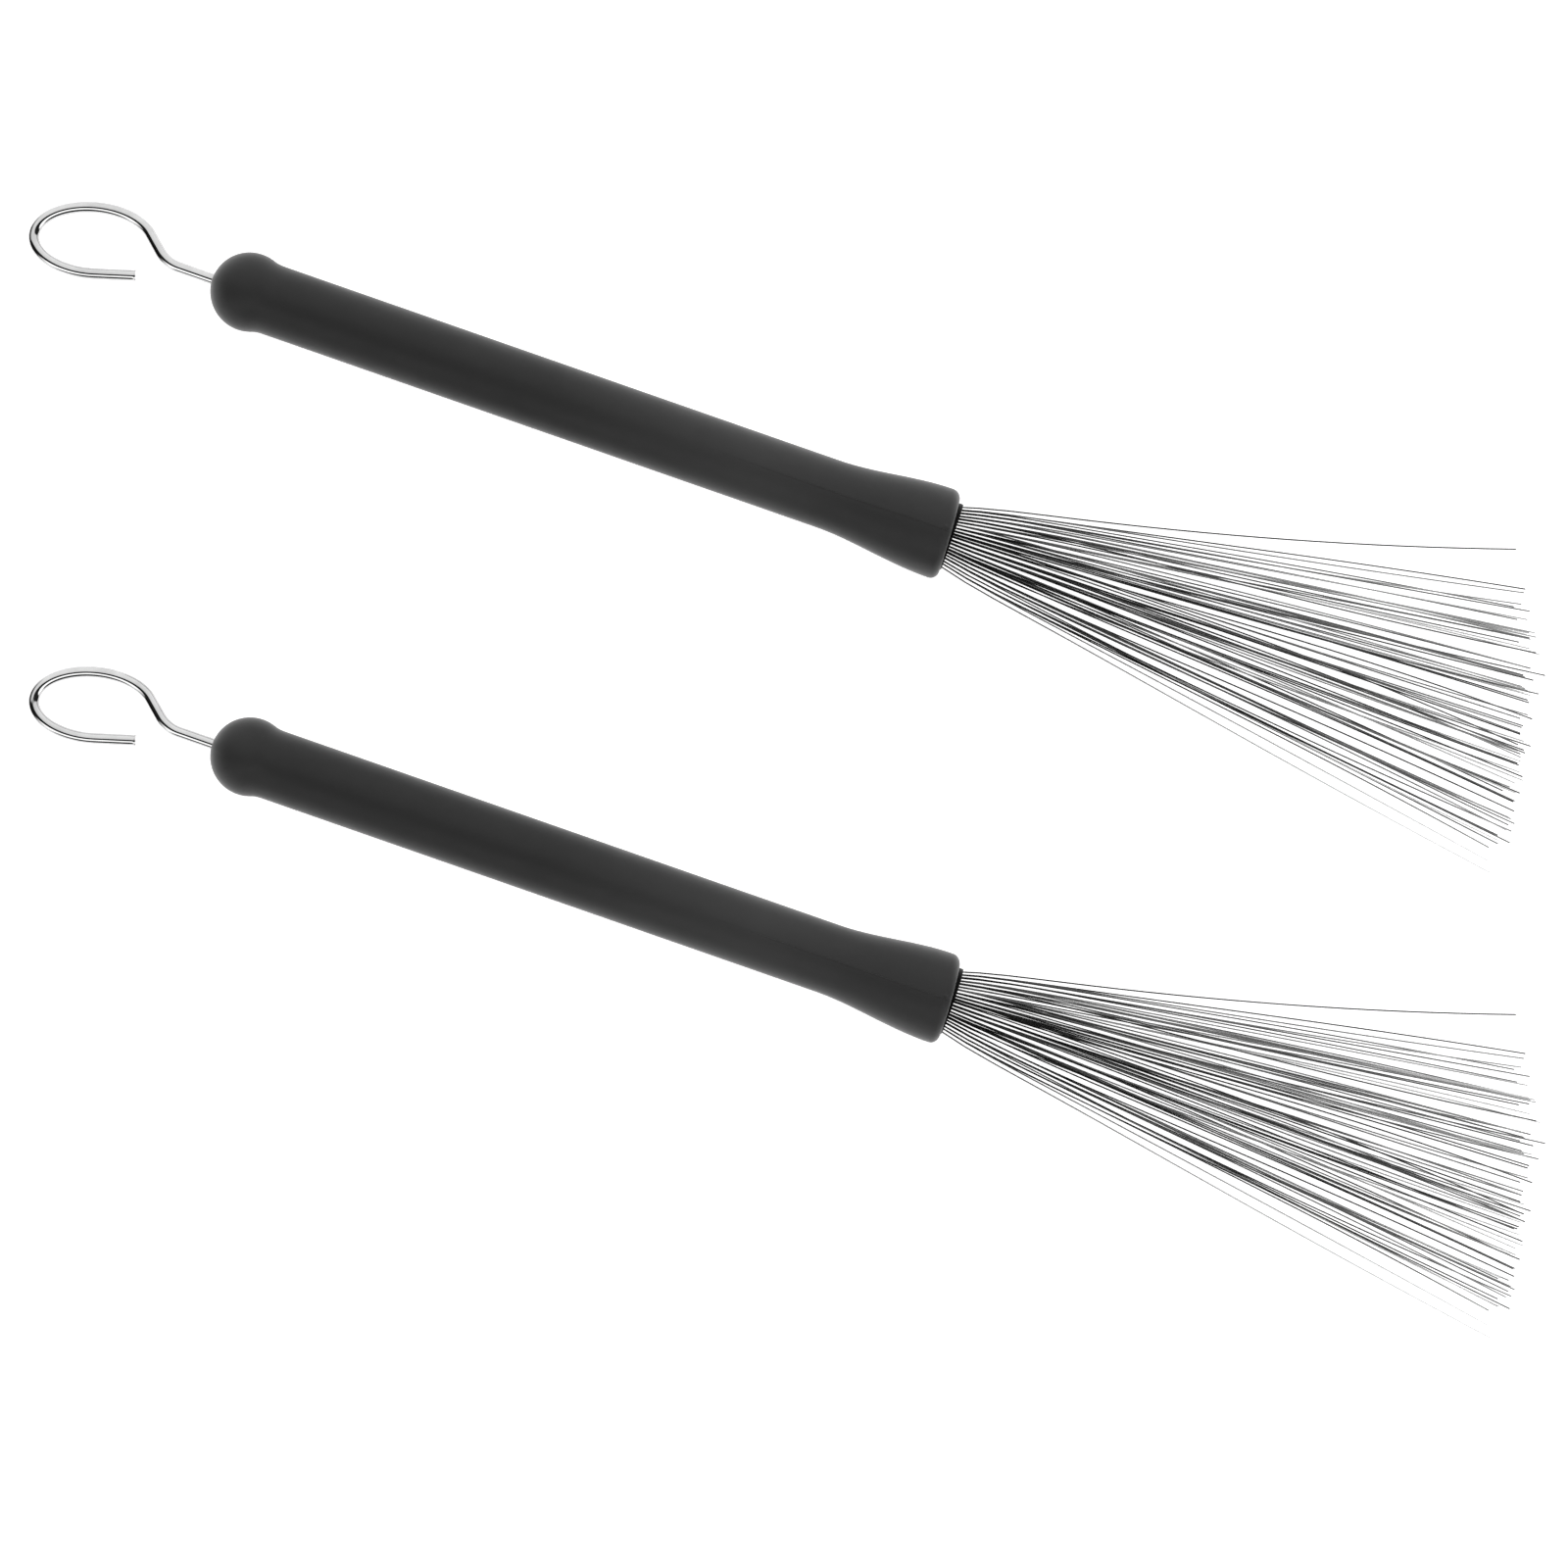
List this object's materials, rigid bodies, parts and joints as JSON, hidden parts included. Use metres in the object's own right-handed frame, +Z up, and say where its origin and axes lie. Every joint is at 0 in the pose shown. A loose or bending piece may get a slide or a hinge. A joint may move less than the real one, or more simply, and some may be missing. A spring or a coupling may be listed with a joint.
{
  "type": "retractable wire drum brushes",
  "caption": "Retractable wire drum brushes with a rubber grip, a pull rod ending in an open hanging hook, and a fan of fine steel wires that draws into the handle tube.",
  "frame": {"origin": "centre of the pair's footprint, on the surface that the brushes lie on", "axes": "+X along both brushes, from the hooks to the wire tips; +Z up; +Y from the second brush to the first"},
  "size_m": [0.3746, 0.159, 0.0195],
  "materials": {
    "grip_rubber": "matte black moulded rubber",
    "coated_tube": "black anodised, satin",
    "plated_rod": "bright plated steel wire",
    "wire_steel": "drawn spring steel, bright",
    "nylon": "natural turned nylon",
    "seal_rubber": "black nitrile",
    "brass": "turned, crimped"
  },
  "bodies": {
    "handle_1": {"rubber_grip_1": "grip_rubber", "handle_tube_1": "coated_tube", "rear_bushing_1": "nylon"},
    "slider_1": {"guide_piston_1": "nylon", "friction_ring_1": "seal_rubber"},
    "rod_1": {"pull_rod_1": "plated_rod", "rod_stop_collar_1": "brass", "wire_ferrule_1": "brass", "wire_tuft_1_01": "wire_steel", "wire_tuft_1_02": "wire_steel", "wire_tuft_1_03": "wire_steel", "wire_tuft_1_04": "wire_steel", "wire_tuft_1_05": "wire_steel", "wire_tuft_1_06": "wire_steel", "wire_tuft_1_07": "wire_steel", "wire_tuft_1_08": "wire_steel", "wire_tuft_1_09": "wire_steel", "wire_tuft_1_10": "wire_steel", "wire_tuft_1_11": "wire_steel", "wire_tuft_1_12": "wire_steel"},
    "handle_2": {"rubber_grip_2": "grip_rubber", "handle_tube_2": "coated_tube", "rear_bushing_2": "nylon"},
    "slider_2": {"guide_piston_2": "nylon", "friction_ring_2": "seal_rubber"},
    "rod_2": {"pull_rod_2": "plated_rod", "rod_stop_collar_2": "brass", "wire_ferrule_2": "brass", "wire_tuft_2_01": "wire_steel", "wire_tuft_2_02": "wire_steel", "wire_tuft_2_03": "wire_steel", "wire_tuft_2_04": "wire_steel", "wire_tuft_2_05": "wire_steel", "wire_tuft_2_06": "wire_steel", "wire_tuft_2_07": "wire_steel", "wire_tuft_2_08": "wire_steel", "wire_tuft_2_09": "wire_steel", "wire_tuft_2_10": "wire_steel", "wire_tuft_2_11": "wire_steel", "wire_tuft_2_12": "wire_steel"}
  },
  "joints": [
    {"name": "rod_1_pull", "type": "slide", "parent": "handle_1", "child": "slider_1", "axis": [-1, 0, 0], "range_m": [0, 0.1295], "deforming": ["wire_tuft_1_01", "wire_tuft_1_02", "wire_tuft_1_03", "wire_tuft_1_04", "wire_tuft_1_05", "wire_tuft_1_06", "wire_tuft_1_07", "wire_tuft_1_08", "wire_tuft_1_09", "wire_tuft_1_10", "wire_tuft_1_11", "wire_tuft_1_12"]},
    {"name": "rod_1_twist", "type": "hinge", "parent": "slider_1", "child": "rod_1", "pos_m": [-0.147, 0.04189, 0.00977], "axis": [1, 0, 0], "continuous": true},
    {"name": "rod_2_pull", "type": "slide", "parent": "handle_2", "child": "slider_2", "axis": [-1, 0, 0], "range_m": [0, 0.1295], "deforming": ["wire_tuft_2_01", "wire_tuft_2_02", "wire_tuft_2_03", "wire_tuft_2_04", "wire_tuft_2_05", "wire_tuft_2_06", "wire_tuft_2_07", "wire_tuft_2_08", "wire_tuft_2_09", "wire_tuft_2_10", "wire_tuft_2_11", "wire_tuft_2_12"]},
    {"name": "rod_2_twist", "type": "hinge", "parent": "slider_2", "child": "rod_2", "pos_m": [-0.1142, -0.05211, 0.00977], "axis": [1, 0, 0], "continuous": true},
    {"name": "brush_2_lift", "type": "slide", "parent": "handle_1", "child": "handle_2", "axis": [0, 0, 1], "range_m": [0, 0.1]}
  ]
}
